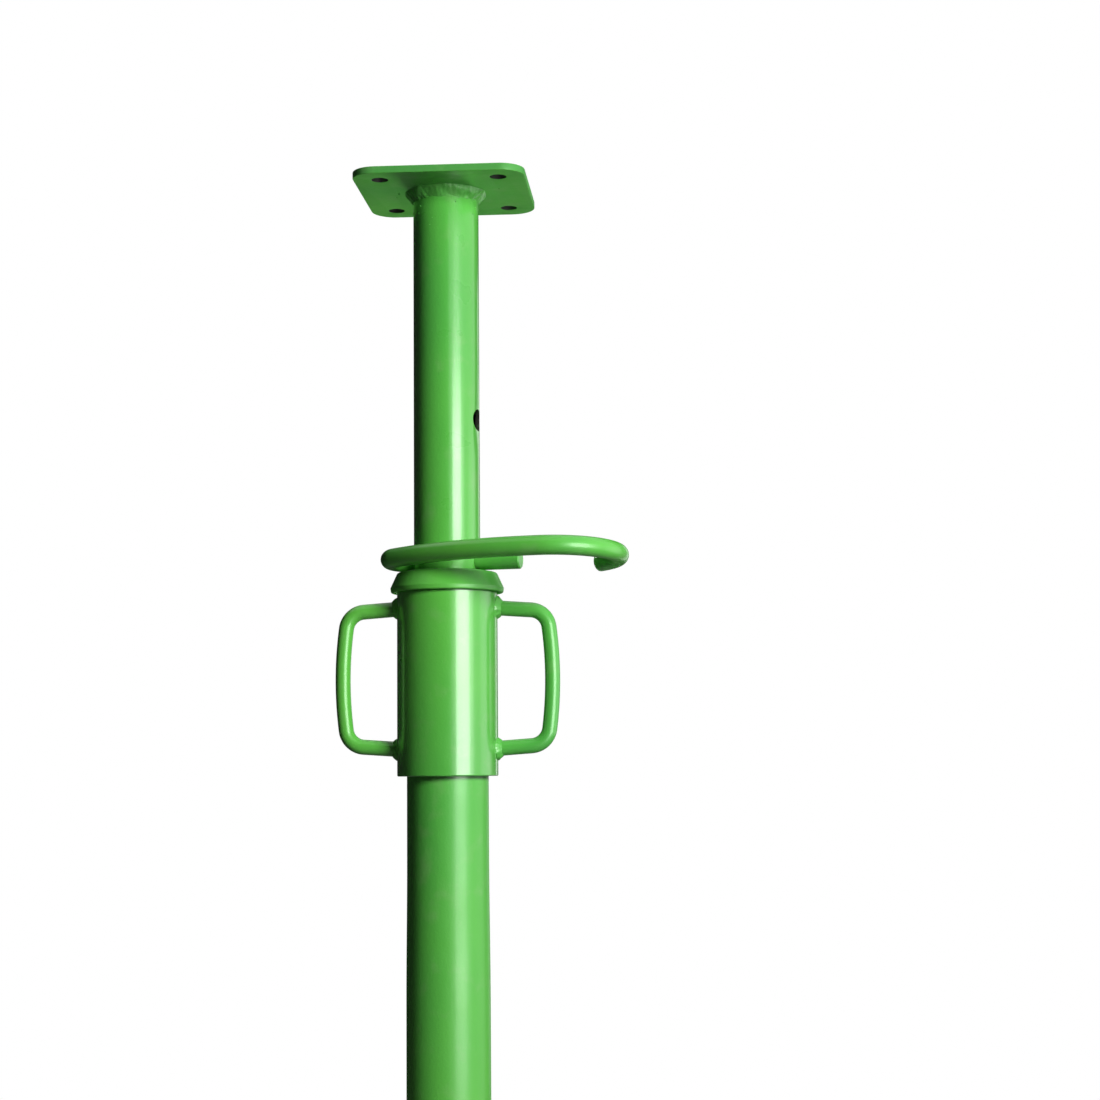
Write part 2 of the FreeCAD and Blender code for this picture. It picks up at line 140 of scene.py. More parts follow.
def face_outwards(piece: bpy.types.Object) -> None:
    """Merges doubles and turns the faces of the edited mesh outwards."""
    bpy.ops.mesh.select_all(action="SELECT")
    bpy.ops.mesh.remove_doubles(threshold=1e-6)
    bpy.ops.mesh.normals_make_consistent(inside=False)


def settle(piece: bpy.types.Object) -> None:
    """Puts the object at the origin, unturned, with its place in its mesh."""
    only(piece)
    bpy.ops.object.transform_apply(location=True, rotation=True, scale=True)


def smooth(piece: bpy.types.Object) -> None:
    """Shades a piece smooth, with its sharp edges kept."""
    only(piece)
    bpy.ops.object.shade_smooth_by_angle(angle=SMOOTH_ANGLE)


def apply_modifier(piece: bpy.types.Object, kind: str, name: str, **settings: object) -> None:
    """Adds a modifier, sets it up and applies it.

    Args:
        piece: The piece that it works on.
        kind: Blender's name for the kind of modifier.
        name: What it is called.
        settings: Its settings by name.
    """
    only(piece)
    modifier = piece.modifiers.new(name, kind)
    for key, setting in settings.items():
        setattr(modifier, key, setting)
    bpy.ops.object.modifier_apply(modifier=name)


def bore(piece: bpy.types.Object, start: Vector, end: Vector, radius: float) -> None:
    """Drills a round hole through a piece.

    Args:
        piece: The piece to drill.
        start: One end of the drill, outside the piece.
        end: The other end, outside the piece.
        radius: The hole's radius.
    """
    deselect_all()
    way = end - start
    turn = way.to_track_quat("Z", "Y").to_euler()
    bpy.ops.mesh.primitive_cylinder_add(
        vertices=HOLE_FACETS, radius=radius, depth=way.length, location=(start + end) / 2, rotation=turn
    )
    drill = bpy.context.object
    apply_modifier(piece, "BOOLEAN", "drill", operation="DIFFERENCE", object=drill, solver="EXACT")
    bpy.data.objects.remove(drill)


def round_corners(corners: Sequence[tuple[float, float, float]], steps: int = 4) -> list[Ring]:
    """Rounds the corners of a closed outline in the plane of radius and height.

    Args:
        corners: Radius, height and rounding of each corner.
        steps: Pieces that each rounding is drawn with.

    Returns:
        The rings of the rounded outline.
    """
    rings: list[Ring] = []
    count = len(corners)
    for index, (radius, height, rounding) in enumerate(corners):
        here = Vector((radius, height))
        if rounding <= 0:
            rings.append((here.x, here.y))
            continue
        before = Vector(corners[index - 1][:2]) - here
        after = Vector(corners[(index + 1) % count][:2]) - here
        half = before.angle(after) / 2
        reach = min(rounding / math.tan(half), before.length * 0.45, after.length * 0.45)
        start = here + before.normalized() * reach
        end = here + after.normalized() * reach
        for step in range(steps + 1):
            part = step / steps
            blend = start.lerp(here, part).lerp(here.lerp(end, part), part)
            rings.append((blend.x, blend.y))
    return rings


def turn_piece(name: str, rings: Sequence[Ring], segments: int = 128) -> bpy.types.Object:
    """Turns a closed outline about the prop's axis, ring by ring.

    Args:
        name: The piece's name.
        rings: Radius and height of each ring, in order round the wall.
        segments: Facets round the axis.

    Returns:
        The closed wall, its faces outwards.
    """
    deselect_all()
    radius, height = rings[0]
    bpy.ops.mesh.primitive_circle_add(
        vertices=segments, radius=radius, location=(0, 0, height), fill_type="NOTHING", enter_editmode=True
    )
    piece = bpy.context.object
    piece.name = name
    for next_radius, next_height in rings[1:]:
        rise = (0, 0, next_height - height)
        bpy.ops.mesh.extrude_region_move(TRANSFORM_OT_translate={"value": rise})
        grow = next_radius / radius
        bpy.ops.transform.resize(value=(grow, grow, 1), center_override=(0, 0, next_height))
        radius, height = next_radius, next_height
    last = point_count(piece) - segments
    select_points(piece, lambda point: point.index < segments or point.index >= last)
    bpy.ops.mesh.select_mode(type="EDGE")
    bpy.ops.mesh.bridge_edge_loops()
    face_outwards(piece)
    bpy.ops.object.mode_set(mode="OBJECT")
    settle(piece)
    return piece


def move_points(piece: bpy.types.Object, move: Callable[[Vector], Vector]) -> None:
    """Moves each point of a finished mesh.

    Args:
        piece: The piece in object mode, settled.
        move: Gives a point's new place from its old one.
    """
    for point in piece.data.vertices:
        point.co = move(point.co.copy())
    piece.data.update()


def at_radius(point: Vector, radius: float) -> Vector:
    """The point, moved in or out to a radius from the prop's axis."""
    scale = radius / math.hypot(point.x, point.y)
    return Vector((point.x * scale, point.y * scale, point.z))


def put(piece: bpy.types.Object, turn: Euler, spot: Sequence[float] = (0, 0, 0)) -> None:
    """Turns a settled piece, moves it to its spot and settles it there."""
    piece.rotation_euler = turn
    piece.location = spot
    settle(piece)


def dress(
    piece: bpy.types.Object,
    body: Body,
    material: bpy.types.Material,
    nodes: Iterable[str] = (),
) -> bpy.types.Object:
    """Gives a finished piece its material, its body and the nodes it stands for.

    Args:
        piece: The finished piece.
        body: The body that it rides on.
        material: Its material.
        nodes: The nodes of the frame that it replaces.

    Returns:
        The piece.
    """
    smooth(piece)
    piece.data.materials.clear()
    piece.data.materials.append(material)
    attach(piece, body.value)
    names = list(nodes)
    if names:
        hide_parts(*names)
    log.info("%s rides on %s, %d faces", piece.name, body.value, len(piece.data.polygons))
    return piece


def patch(piece: bpy.types.Object, material: bpy.types.Material, test: Test) -> None:
    """Gives some faces of a dressed piece a further material.

    Args:
        piece: The dressed piece.
        material: The further material.
        test: Says of a face's centre whether it is taken.
    """
    piece.data.materials.append(material)
    index = len(piece.data.materials) - 1
    for face in piece.data.polygons:
        if test(face.center):
            face.material_index = index


# A round bar, bent as on a bench


class BarBender:
    """A round bar that grows from its start by straight runs and bends."""

    def __init__(self, name: str, radius: float, start: Vector, chamfer: float, sides: int = 32) -> None:
        """Starts the bar with its chamfered end, square to the X axis.

        Args:
            name: The piece's name.
            radius: The bar's radius.
            start: Centre of its first end.
            chamfer: Chamfer of its two ends.
            sides: Facets round the bar.
        """
        self.radius = radius
        self.chamfer = chamfer
        self.sides = sides
        self.place = start.copy()
        deselect_all()
        bpy.ops.mesh.primitive_circle_add(
            vertices=sides, radius=radius - chamfer, location=start, rotation=(0, math.pi / 2, 0),
            fill_type="NOTHING", enter_editmode=True,
        )
        self.piece = bpy.context.object
        self.piece.name = name

    def open_end(self, heading: Vector) -> None:
        """Widens the first end to the bar's full radius.

        Args:
            heading: Unit vector that the bar sets out along.
        """
        self.step(heading * self.chamfer, self.radius / (self.radius - self.chamfer))

    def step(self, move: Vector, scale: float = 1.0) -> None:
        """Draws the bar's end on by one move.

        Args:
            move: The way that the end's centre goes.
            scale: Growth of the end's ring.
        """
        bpy.ops.mesh.extrude_region_move(TRANSFORM_OT_translate={"value": move})
        self.place += move
        if scale != 1.0:
            bpy.ops.transform.resize(value=(scale,) * 3, center_override=self.place)

    def straight(self, move: Vector, pieces: int) -> None:
        """Draws a straight run.

        Args:
            move: The whole run.
            pieces: Steps that it is drawn with.
        """
        for _ in range(pieces):
            self.step(move / pieces)

    def bend(self, centre: Vector, axis: Vector, angle: float, pieces: int) -> None:
        """Bends the bar's end round a centre.

        Args:
            centre: Centre of the bend.
            axis: Unit vector that it turns about.
            angle: Angle of the bend, by the right-hand rule.
            pieces: Steps that it is drawn with.
        """
        bpy.ops.mesh.spin(steps=pieces, angle=-angle, center=centre, axis=axis)
        self.place = centre + Matrix.Rotation(angle, 3, axis) @ (self.place - centre)

    def close(self, heading: Vector) -> bpy.types.Object:
        """Chamfers the last end, closes both and settles the bar.

        Args:
            heading: Unit vector that the bar's end points along.

        Returns:
            The finished bar.
        """
        self.step(heading * self.chamfer, (self.radius - self.chamfer) / self.radius)
        last = point_count(self.piece) - self.sides
        for in_end in (lambda point: point.index >= last, lambda point: point.index < self.sides):
            select_points(self.piece, in_end)
            bpy.ops.mesh.edge_face_add()
        face_outwards(self.piece)
        bpy.ops.object.mode_set(mode="OBJECT")
        settle(self.piece)
        return self.piece


# Finishes


class NodeTree:
    """Shader nodes of one tree, added and joined by short calls."""

    def __init__(self, tree: bpy.types.NodeTree) -> None:
        """Takes up the tree."""
        self.tree = tree

    def add(self, kind: str, **settings: object) -> bpy.types.Node:
        """Adds a node and sets its fields by name."""
        node = self.tree.nodes.new(kind)
        for key, setting in settings.items():
            setattr(node, key, setting)
        return node

    def feed(self, node: bpy.types.Node, key: str | int, source: object) -> None:
        """Links a socket where the source is one, and sets its value otherwise."""
        if isinstance(source, bpy.types.NodeSocket):
            self.tree.links.new(source, node.inputs[key])
        else:
            node.inputs[key].default_value = source

    def combine(self, operation: str, first: object, second: object) -> bpy.types.NodeSocket:
        """What a Math node makes of two values."""
        node = self.add("ShaderNodeMath", operation=operation)
        self.feed(node, 0, first)
        self.feed(node, 1, second)
        return node.outputs[0]


class NodeSheet(NodeTree):
    """The nodes of one material, all read from the place on the object."""

    def __init__(self, name: str) -> None:
        """Starts a material that holds only its shader and output.

        Args:
            name: The material's name.
        """
        self.material = bpy.data.materials.new(name)
        self.material.use_nodes = True
        super().__init__(self.material.node_tree)
        self.shader = self.tree.nodes["Principled BSDF"]
        self.place = self.add("ShaderNodeTexCoord").outputs["Object"]

    def noise(
        self, scale: float, detail: float = 3.0, stretch: Sequence[float] = (1, 1, 1)
    ) -> bpy.types.NodeSocket:
        """Noise in object space.

        Args:
            scale: Cells per metre.
            detail: Finer layers.
            stretch: Scale along each axis.

        Returns:
            The noise's value.
        """
        mapping = self.add("ShaderNodeMapping")
        self.feed(mapping, "Vector", self.place)
        self.feed(mapping, "Scale", stretch)
        texture = self.add("ShaderNodeTexNoise")
        self.feed(texture, "Vector", mapping.outputs[0])
        self.feed(texture, "Scale", scale)
        self.feed(texture, "Detail", detail)
        return texture.outputs["Fac"]

    def specks(self, scale: float) -> bpy.types.NodeSocket:
        """Distance to scattered points, for dust and pits, at that many per metre."""
        texture = self.add("ShaderNodeTexVoronoi")
        self.feed(texture, "Vector", self.place)
        self.feed(texture, "Scale", scale)
        return texture.outputs["Distance"]

    def remap(
        self, source: bpy.types.NodeSocket, low: float, high: float, out_low: float, out_high: float
    ) -> bpy.types.NodeSocket:
        """Spreads a value from one range over another, held at its ends.

        Args:
            source: The value.
            low: Where the first range starts.
            high: Where it ends.
            out_low: The value at its start.
            out_high: The value at its end.

        Returns:
            The new value.
        """
        node = self.add("ShaderNodeMapRange")
        for key, item in enumerate((source, low, high, out_low, out_high)):
            self.feed(node, key, item)
        return node.outputs[0]

    def tint(self, share: bpy.types.NodeSocket, first: object, second: object) -> bpy.types.NodeSocket:
        """A colour between two others, by a share from 0 to 1."""
        node = self.add("ShaderNodeMix", data_type="RGBA")
        self.feed(node, 0, share)
        self.feed(node, 6, first)
        self.feed(node, 7, second)
        return node.outputs[2]

    def bump(self, height: bpy.types.NodeSocket, depth: float, under: object = None) -> bpy.types.NodeSocket:
        """Bumps of a height map, laid over other bumps.

        Args:
            height: The map, from 0 to 1.
            depth: Its depth in metres.
            under: The normal that it lies on.

        Returns:
            The bumped normal.
        """
        node = self.add("ShaderNodeBump")
        self.feed(node, "Strength", 1.0)
        self.feed(node, "Distance", depth)
        self.feed(node, "Height", height)
        if under is not None:
            self.feed(node, "Normal", under)
        return node.outputs[0]


@dataclass(frozen=True)
class GreenPaint:
    """Glossy green enamel over steel, with orange peel, dust and a little fading."""

    name: str
    colour: tuple[float, float, float, float] = (0.110, 0.470, 0.053, 1.0)
    deep: tuple[float, float, float, float] = (0.066, 0.370, 0.054, 1.0)
    dust: tuple[float, float, float, float] = (0.190, 0.420, 0.130, 1.0)
    roughness: float = 0.26
    spread: float = 0.14
    peel: float = 0.00006
    waves: float = 0.00025
    lumps: float = 0.0
    coat: float = 0.9
    coat_roughness: float = 0.15
    ragged: float = 0.00010

    def make(self) -> bpy.types.Material:
        """Makes the material.

        Returns:
            The paint.
        """
        sheet = NodeSheet(self.name)
        mottle = sheet.remap(sheet.noise(9, 4, (1, 1, 0.35)), 0.35, 0.70, 0.0, 1.0)
        body = sheet.tint(mottle, self.colour, self.deep)
        film = sheet.remap(sheet.noise(55, 5), 0.56, 0.74, 0.0, 0.35)
        dusty = sheet.tint(film, body, self.dust)
        pits = sheet.remap(sheet.specks(420), 0.05, 0.11, 0.35, 0.0)
        shown = sheet.combine("MULTIPLY", pits, sheet.remap(sheet.noise(40, 2), 0.52, 0.60, 0.0, 1.0))
        sheet.feed(sheet.shader, "Base Color", sheet.tint(shown, dusty, self.deep))
        matt = sheet.remap(sheet.noise(38, 5), 0.30, 0.75, self.roughness, self.roughness + self.spread)
        sheet.feed(sheet.shader, "Roughness", matt)
        sheet.feed(sheet.shader, "Coat Weight", self.coat)
        sheet.feed(sheet.shader, "Coat IOR", 1.55)
        sheet.feed(sheet.shader, "Coat Roughness", self.coat_roughness)
        sheet.feed(sheet.shader, "Specular IOR Level", 0.36)
        normal = sheet.bump(sheet.noise(34, 2, (1, 1, 0.5)), self.waves)
        normal = sheet.bump(sheet.noise(180, 3, (1, 1, 0.45)), self.ragged, normal)
        normal = sheet.bump(sheet.noise(620, 2), self.peel, normal)
        normal = sheet.bump(sheet.remap(sheet.specks(150), 0.0, 0.10, 1.0, 0.0), self.peel, normal)
        if self.lumps:
            normal = sheet.bump(sheet.noise(900, 5), self.lumps, normal)
        sheet.feed(sheet.shader, "Normal", normal)
        return sheet.material


@dataclass(frozen=True)
class GreasedSteel:
    """Bare steel under grease, with rust where the grease is thin."""

    name: str
    steel: tuple[float, float, float, float] = (0.36, 0.35, 0.33, 1.0)
    grease: tuple[float, float, float, float] = (0.12, 0.10, 0.07, 1.0)
    rust: tuple[float, float, float, float] = (0.19, 0.075, 0.028, 1.0)
    scratches: float = 0.00004

    def make(self) -> bpy.types.Material:
        """Makes the material.

        Returns:
            The steel.
        """
        sheet = NodeSheet(self.name)
        film = sheet.remap(sheet.noise(45, 5), 0.40, 0.62, 0.0, 0.8)
        oily = sheet.tint(film, self.steel, self.grease)
        rusty = sheet.remap(sheet.noise(80, 6), 0.55, 0.66, 0.0, 1.0)
        sheet.feed(sheet.shader, "Base Color", sheet.tint(rusty, oily, self.rust))
        sheet.feed(sheet.shader, "Metallic", sheet.remap(rusty, 0.0, 1.0, 0.95, 0.1))
        sheet.feed(sheet.shader, "Roughness", sheet.remap(rusty, 0.0, 1.0, 0.32, 0.80))
        normal = sheet.bump(sheet.noise(300, 3, (1, 1, 6)), self.scratches)
        sheet.feed(sheet.shader, "Normal", sheet.bump(sheet.noise(700, 4), self.scratches, normal))
        return sheet.material


@dataclass(frozen=True)
class BoreSteelAndPaintedShade:
    """The inside of a tube or hole: unpainted steel with scale, old oil and a haze of overspray, made
    near-black as painted shade for the recess.
    """

    name: str
    # Near-black colours: the steel's own dark tone together with painted shade for the recess.
    scale: tuple[float, float, float, float] = (0.018, 0.017, 0.014, 1.0)
    haze: tuple[float, float, float, float] = (0.018, 0.060, 0.014, 1.0)

    def make(self) -> bpy.types.Material:
        """Makes the material.

        Returns:
            The dark steel.
        """
        sheet = NodeSheet(self.name)
        spray = sheet.remap(sheet.noise(70, 4), 0.48, 0.66, 0.0, 1.0)
        sheet.feed(sheet.shader, "Base Color", sheet.tint(spray, self.scale, self.haze))
        sheet.feed(sheet.shader, "Roughness", sheet.remap(sheet.noise(120, 4), 0.3, 0.7, 0.55, 0.85))
        sheet.feed(sheet.shader, "Specular IOR Level", 0.3)
        sheet.feed(sheet.shader, "Normal", sheet.bump(sheet.noise(500, 4), 0.00012))
        return sheet.material


@dataclass(frozen=True)
class Finishes:
    """The object's finishes, made once."""

    paint: bpy.types.Material
    bar_paint: bpy.types.Material
    satin_paint: bpy.types.Material
    weld_paint: bpy.types.Material
    edge_paint: bpy.types.Material
    steel: bpy.types.Material
    bore: bpy.types.Material

    @classmethod
    def mixed(cls) -> "Finishes":
        """Makes each finish."""
        return cls(
            paint=GreenPaint("green_enamel").make(),
            bar_paint=GreenPaint("green_enamel_on_bar", roughness=0.34, coat=0.5, coat_roughness=0.2).make(),
            satin_paint=GreenPaint("worn_green_enamel", roughness=0.40, coat=0.22, coat_roughness=0.2).make(),
            weld_paint=GreenPaint(
                "green_enamel_on_weld", roughness=0.34, lumps=0.00015, coat=0.5, coat_roughness=0.18
            ).make(),
            # A darker, rougher green for the plate's side faces: painted shade on those faces.
            edge_paint=GreenPaint(
                "plate_edge_painted_shade", colour=(0.070, 0.310, 0.050, 1.0), deep=(0.045, 0.240, 0.045, 1.0),
                roughness=0.5, lumps=0.0001, coat=0.1, coat_roughness=0.3,
            ).make(),
            steel=GreasedSteel("greased_steel").make(),
            # The bore finish is bare steel darkened as painted shade, for hole walls and tube insides.
            bore=BoreSteelAndPaintedShade("bore_steel_and_painted_shade").make(),
        )


# Weld beads


@dataclass(frozen=True)
class FilletBead:
    """A weld bead in the corner between a round bar or tube and what it stands on."""

    radius: float
    leg: float
    rise: float
    seed: float
    segments: int = 220
    steps: int = 9
    bulge: float = 0.16
    toe: float = 1.3
    root: float = 0.9 * MM
    ripple_pitch: float = 3.2 * MM
    ripple: float = 0.12 * MM
    drift: float = 0.35
    grit: float = 0.50 * MM
    fine_grains: float = 420
    coarse_grains: float = 170
    lump: float = 0.20

    def outline(self) -> list[Ring]:
        """The bead's section as rings, with the ground at height 0."""
        inner = self.radius - self.root
        rings: list[Ring] = [(inner, -self.root), (self.radius + self.leg * 0.8, -self.root)]
        for step in range(self.steps + 1):
            part = step / self.steps
            swell = 1 + self.bulge * math.sin(math.pi * part)
            toe = (1 - part) ** self.toe
            rings.append((self.radius + self.leg * toe * swell, self.rise * part * swell))
        rings.append((inner, self.rise))
        return rings

    def unevenness(self, point: Vector) -> Vector:
        """Moves a point of the bead's face as a hand-laid bead would lie."""
        radius = math.hypot(point.x, point.y)
        out = radius - self.radius
        if out < -0.1 * MM and point.z < self.rise * 0.9:
            return point
        turn = Vector((point.x, point.y, 0)).normalized()
        reach = 1 + self.lump * noise.noise(turn * 2.6 + Vector((0, 0, self.seed)))
        climb = 1 + self.lump * noise.noise(turn * 3.4 + Vector((0, 0, self.seed + 5)))
        angle = math.atan2(point.y, point.x)
        drift = self.drift * noise.noise(turn * 6 + Vector((0, 0, self.seed + 9)))
        phase = (angle * self.radius / self.ripple_pitch + drift + point.z / (2 * self.rise)) % 1.0
        height = self.ripple * (0.6 - 1.6 * phase * phase)
        spot = Vector((point.x, point.y, point.z + self.seed))
        height += self.grit * noise.noise(spot * self.fine_grains)
        height += 1.3 * self.grit * noise.noise(spot * self.coarse_grains)
        slope = math.atan2(self.leg, self.rise)
        new_radius = self.radius + max(out, 0) * reach + min(out, 0) + height * math.cos(slope)
        new_z = point.z * climb + height * math.sin(slope) if point.z > 0 else point.z
        return Vector((turn.x * new_radius, turn.y * new_radius, new_z))

    def lay(self, name: str) -> bpy.types.Object:
        """Models the bead about the origin, its bar along the Z axis.

        Args:
            name: The piece's name.

        Returns:
            The bead.
        """
        piece = turn_piece(name, self.outline(), self.segments)
        move_points(piece, self.unevenness)
        return piece


@dataclass
class WeldSpatter:
    """Small beads of spattered weld metal, stuck near a weld and painted over."""

    count: int = 34
    smallest: float = 0.35 * MM
    largest: float = 0.95 * MM
    foot: float = -0.2
    spread: tuple[float, float, float] = (1.25, 1.25, 0.4)
    top: float = 0.3
    lean: tuple[float, float, float] = (0.18, 0, -0.05)
    flatness: float = 0.8
    seed: int = 7

    def drop(self) -> bpy.types.Object:
        """Models one drop of unit size: a ball with a spread foot that leans over."""
        deselect_all()
        bpy.ops.mesh.primitive_ico_sphere_add(subdivisions=2, radius=1, enter_editmode=True)
        drop = bpy.context.object
        select_points(drop, lambda point: point.co.z < self.foot)
        bpy.ops.transform.resize(value=self.spread, center_override=(0, 0, self.foot))
        select_points(drop, lambda point: point.co.z > self.top)
        bpy.ops.transform.translate(value=self.lean)
        bpy.ops.object.mode_set(mode="OBJECT")
        return drop

    def build(self, name: str, radius: float, plate_z: float, way: int) -> bpy.types.Object:
        """Scatters copies of the drop over the tube and the plate by their weld.

        Args:
            name: The piece's name.
            radius: The tube's radius.
            plate_z: Height of the plate's face.
            way: 1 where the tube stands up from the plate and -1 where it hangs down.

        Returns:
            All the drops as one piece.
        """
        chance = Random(self.seed)
        first = self.drop()
        drops = []
        for number in range(self.count):
            size = chance.uniform(self.smallest, self.largest)
            turn = chance.uniform(0, FULL_TURN)
            on_tube = number % 3 != 0
            fall = chance.uniform(6, 30) * MM if on_tube else 0
            out = radius if on_tube else radius + chance.uniform(7, 22) * MM
            normal = Vector((math.cos(turn), math.sin(turn), 0)) if on_tube else Vector((0, 0, way))
            drop = first.copy()
            drop.data = first.data.copy()
            bpy.context.scene.collection.objects.link(drop)
            drop.scale = (size, size, size * self.flatness)
            lie = normal.to_track_quat("Z", "Y") @ Euler((0, 0, turn * 5)).to_quaternion()
            put(drop, lie.to_euler(), (out * math.cos(turn), out * math.sin(turn), plate_z + way * fall))
            drops.append(drop)
        bpy.data.objects.remove(first)
        deselect_all()
        for drop in drops:
            drop.select_set(True)
        bpy.context.view_layer.objects.active = drops[0]
        bpy.ops.object.join()
        piece = bpy.context.object
        piece.name = name
        return piece


# End plates


@dataclass
class EndPlate:
    """A square plate with rounded corners and four bolt holes, welded to its tube."""

    node: str
    weld_node: str
    body: Body
    tube_radius: float
    way: int
    corner: float = 18 * MM
    edge: float = 1.3 * MM
    # Margin from the plate's top and bottom faces that the painted edge shade keeps clear of.
    edge_shade_margin: float = 0.3 * MM
    bolt_spacing: float = 86 * MM
    bolt_radius: float = 6 * MM
    weld_leg: float = 6 * MM
    weld_rise: float = 7.5 * MM

    def plate(self) -> bpy.types.Object:
        """Models the plate from a block: corners rounded, holes drilled, edges broken."""
        low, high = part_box(self.node)
        deselect_all()
        bpy.ops.mesh.primitive_cube_add(size=1, location=(low + high) / 2)
        piece = bpy.context.object
        piece.name = self.node + "_painted"
        piece.scale = high - low
        settle(piece)
        bpy.ops.object.mode_set(mode="EDIT")
        bpy.ops.mesh.select_mode(type="EDGE")
        mesh = bmesh.from_edit_mesh(piece.data)
        for edge in mesh.edges:
            first, second = (point.co for point in edge.verts)
            edge.select = abs(first.z - second.z) > MM
        bmesh.update_edit_mesh(piece.data)
        bpy.ops.mesh.bevel(offset=self.corner, offset_type="OFFSET", segments=12, affect="EDGES")
        bpy.ops.object.mode_set(mode="OBJECT")
        reach = self.bolt_spacing / 2
        for across in (-reach, reach):
            for along in (-reach, reach):
                start = Vector((across, along, low.z - 5 * MM))
                end = Vector((across, along, high.z + 5 * MM))
                bore(piece, start, end, self.bolt_radius)
        apply_modifier(
            piece, "BEVEL", "broken_edges", width=self.edge, segments=4, limit_method="ANGLE",
            angle_limit=math.radians(50), harden_normals=False,
        )
        return piece

    def face(self) -> float:
        """Height of the plate's face that the weld lies on."""
        low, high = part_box(self.weld_node)
        return low.z if self.way > 0 else high.z

    def weld(self) -> bpy.types.Object:
        """Lays the bead between the plate's face and the tube."""
        bead = FilletBead(self.tube_radius, self.weld_leg, self.weld_rise, seed=3.0 + self.way)
        piece = bead.lay(self.weld_node + "_bead")
        put(piece, Euler((0 if self.way > 0 else math.pi, 0, 0)), (0, 0, self.face()))
        return piece

    def build(self, finishes: Finishes) -> None:
        """Models and dresses the plate, its weld and the spatter beside it."""
        low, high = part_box(self.node)
        plate = dress(self.plate(), self.body, finishes.satin_paint, [self.node])
        reach = self.bolt_spacing / 2

        def from_hole(spot: Vector) -> float:
            return math.hypot(abs(spot.x) - reach, abs(spot.y) - reach) - self.bolt_radius

        def on_edge(spot: Vector) -> bool:
            in_side = low.z + self.edge_shade_margin < spot.z < high.z - self.edge_shade_margin
            return in_side and from_hole(spot) > 2 * self.edge

        # Hole walls: the near-black bore finish, bare steel with painted shade in the holes.
        patch(plate, finishes.bore, lambda spot: from_hole(spot) < 0.1 * MM)
        # The plate's side faces get the darker edge green as painted shade.
        patch(plate, finishes.edge_paint, on_edge)
        dress(self.weld(), self.body, finishes.weld_paint, [self.weld_node])
        spatter = WeldSpatter(seed=17 + self.way)
        drops = spatter.build(self.weld_node + "_spatter", self.tube_radius, self.face(), self.way)
        dress(drops, self.body, finishes.weld_paint)


# Tubes


@dataclass(frozen=True)
class RolledThread:
    """A round-crested right-hand thread, rolled into the tube's wall."""

    crest: float = 29.5 * MM
    depth: float = 1.1 * MM
    pitch: float = 8 * MM
    run_out: float = 12 * MM
    crest_width: float = 1.6

    def groove(self, turn: float, height: float) -> float:
        """How deep the thread is cut at a place, from 0 at its crest to its depth.

        Args:
            turn: Angle about the prop's axis.
            height: Height above the floor.

        Returns:
            The depth.
        """
        phase = (height / self.pitch - turn / FULL_TURN) % 1.0
        wave = 0.5 + 0.5 * math.cos(FULL_TURN * phase)
        return self.depth * wave ** self.crest_width


@dataclass
class OuterTube:
    """The standing tube: full size below, a drawn neck, a thread and a turned-in mouth."""

    wall: float = 2.9 * MM
    neck: float = 60 * MM
    taper: float = 100 * MM
    lip: float = 8 * MM
    mouth: float = 25.2 * MM
    foot_gap: float = 0.01 * MM
    thread: RolledThread = RolledThread()

    def build(self, finishes: Finishes) -> None:
        """Models the tube ring by ring, then rolls the thread into it."""
        low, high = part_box("outer_tube")
        nut_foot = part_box("nut_sleeve")[0].z
        full = high.x
        thread = self.thread
        crest = thread.crest
        bore_radius = full - self.wall
        neck_bore = crest - self.wall
        lip_foot = high.z - self.lip
        foot = low.z + self.foot_gap
        rings = [(full, foot)]
        taper_top = nut_foot - self.neck
        taper_foot = taper_top - self.taper
        rings += [(full, low.z + (taper_foot - low.z) * part / 6) for part in range(1, 7)]
        for step in range(1, 11):
            part = step / 10
            ease = part * part * (3 - 2 * part)
            rings.append((full + (crest - full) * ease, taper_foot + self.taper * part))
        rings += [(crest, taper_top + self.neck * part / 4) for part in range(1, 5)]
        rows = int((lip_foot - nut_foot) / (thread.pitch / 10))
        rings += [(crest, nut_foot + (lip_foot - nut_foot) * part / rows) for part in range(1, rows + 1)]
        # The lip is drawn in over its foot, flat on top, and ends in a short straight mouth
        rings += [
            (crest - 0.5 * MM, lip_foot + 2.2 * MM), (crest - 1.4 * MM, lip_foot + 4.6 * MM),
            (crest - 1.8 * MM, high.z - 0.7 * MM), (crest - 2.2 * MM, high.z),
            (self.mouth + 0.5 * MM, high.z), (self.mouth, high.z - 0.6 * MM),
            (self.mouth, high.z - 3 * MM), (neck_bore, lip_foot), (neck_bore, taper_top),
            (bore_radius, taper_foot), (bore_radius, foot),
        ]
        piece = turn_piece("outer_tube_painted", rings, THREAD_FACETS)

        def roll(point: Vector) -> Vector:
            radius = math.hypot(point.x, point.y)
            if radius < crest - 0.05 * MM or point.z < nut_foot or point.z > lip_foot:
                return point
            turn = math.atan2(point.y, point.x)
            fade = min(point.z - nut_foot, lip_foot - point.z, thread.run_out) / thread.run_out
            return at_radius(point, radius - thread.groove(turn, point.z) * fade)

        move_points(piece, roll)
        dress(piece, Body.OUTER, finishes.satin_paint, ["outer_tube"])
        # The tube's inside below the lip gets the near-black bore finish: bare steel with painted shade.
        skin = neck_bore + 0.3 * MM
        patch(piece, finishes.bore, lambda spot: math.hypot(spot.x, spot.y) < skin and spot.z < lip_foot)


